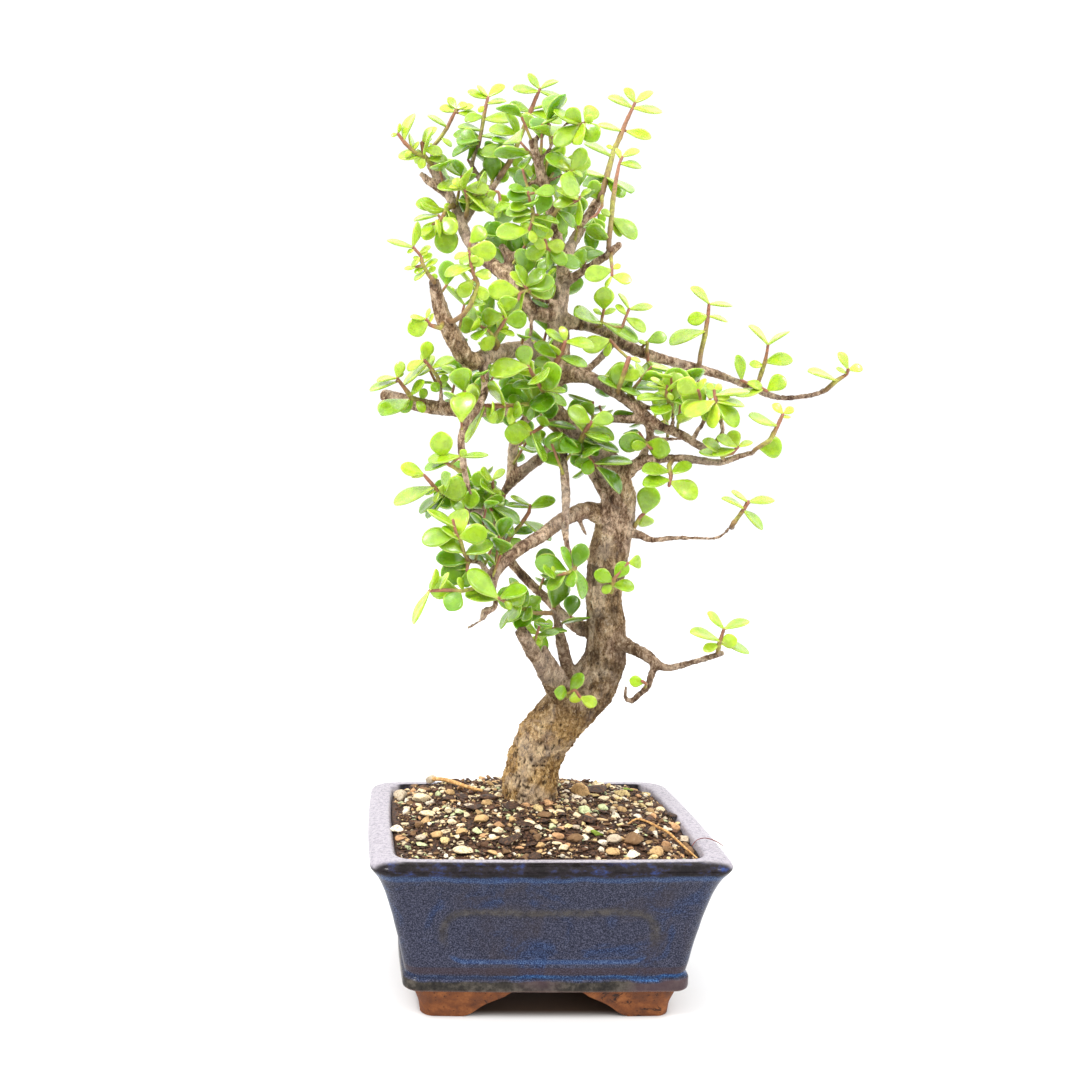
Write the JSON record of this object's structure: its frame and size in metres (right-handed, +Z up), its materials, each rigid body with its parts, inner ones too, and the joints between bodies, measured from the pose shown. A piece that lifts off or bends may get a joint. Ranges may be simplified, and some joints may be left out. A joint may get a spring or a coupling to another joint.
{
  "type": "dwarf jade bonsai in pot",
  "caption": "Windswept dwarf jade bonsai with a bent bare trunk, twisting branches and small fleshy leaves, in a glazed rectangular footed pot filled with coarse grit",
  "frame": {"origin": "on the standing surface, under the middle of the object's bounding box; the pot's middle is to the -X side of it, because one branch reaches far out to +X", "axes": "+X right and +Y to the back as seen from the side with the bare trunk and the long low branch on the right, +Z up"},
  "size_m": [0.219, 0.1164, 0.4172],
  "materials": {
    "glazed_stoneware": "mottled dark cobalt glaze, glossy, on unglazed brown clay feet",
    "mesh_plastic": "matte dark plastic",
    "potting_grit": "matte tan and brown grit with bark",
    "bark": "rough flaking bark",
    "leaf": "smooth waxy fresh green"
  },
  "bodies": {
    "root": {"pot": "glazed_stoneware", "drain_mesh_left": "mesh_plastic", "drain_mesh_right": "mesh_plastic", "soil": "potting_grit", "trunk_and_branches": "bark", "leaves_top_left_end": "leaf", "leaves_reddish_shoot": "leaf", "leaves_yellow_tip_left": "leaf", "leaves_tallest_shoot": "leaf", "leaves_fork_cluster": "leaf", "leaves_hanging_left_cluster": "leaf", "leaves_tiny_curled_tip": "leaf", "leaves_green_stem_left": "leaf", "leaves_upright_left_cluster": "leaf", "leaves_rosette": "leaf", "leaves_upright_tuft": "leaf", "leaves_behind_upright": "leaf", "leaves_upright_right_cluster": "leaf", "leaves_middle_rosette": "leaf", "leaves_yellow_green_fan": "leaf", "leaves_bowl_leaf_stem": "leaf", "leaves_left_arm_sprout": "leaf", "leaves_right_tall_shoot": "leaf", "leaves_right_thin_shoot": "leaf", "leaves_snag_hanger": "leaf", "leaves_long_arm_upper": "leaf", "leaves_long_arm_pair": "leaf", "leaves_arm_shoot_a": "leaf", "leaves_arm_shoot_b": "leaf", "leaves_arm_tip": "leaf", "leaves_middle_riser": "leaf", "leaves_yellow_front_shoot": "leaf", "leaves_front_left_fan": "leaf", "leaves_left_fan": "leaf", "leaves_stump_cluster": "leaf", "leaves_stump_end": "leaf", "leaves_hanging_arm_tuft": "leaf", "leaves_back_left_fan": "leaf", "leaves_hooked_shoot": "leaf", "leaves_left_spray_low": "leaf", "leaves_big_dark_pair": "leaf", "leaves_olive_shoot": "leaf", "leaves_low_left_droop": "leaf", "leaves_root_end_cluster": "leaf", "leaves_shade_cluster": "leaf", "leaves_trunk_sprout_low": "leaf", "leaves_trunk_sprout_middle": "leaf", "leaves_right_round_leaves": "leaf", "leaves_low_right_leaves": "leaf", "leaves_link_leaves": "leaf", "leaves_arm_end_shoot": "leaf", "leaves_front_crown_a": "leaf", "leaves_front_crown_c": "leaf", "leaves_middle_twig_leaves": "leaf", "leaves_back_arm_fan": "leaf", "leaves_centre_fan": "leaf", "leaves_low_right_tip": "leaf", "leaves_wisp_end": "leaf", "leaves_low_right_leaf": "leaf"}
  },
  "joints": []
}
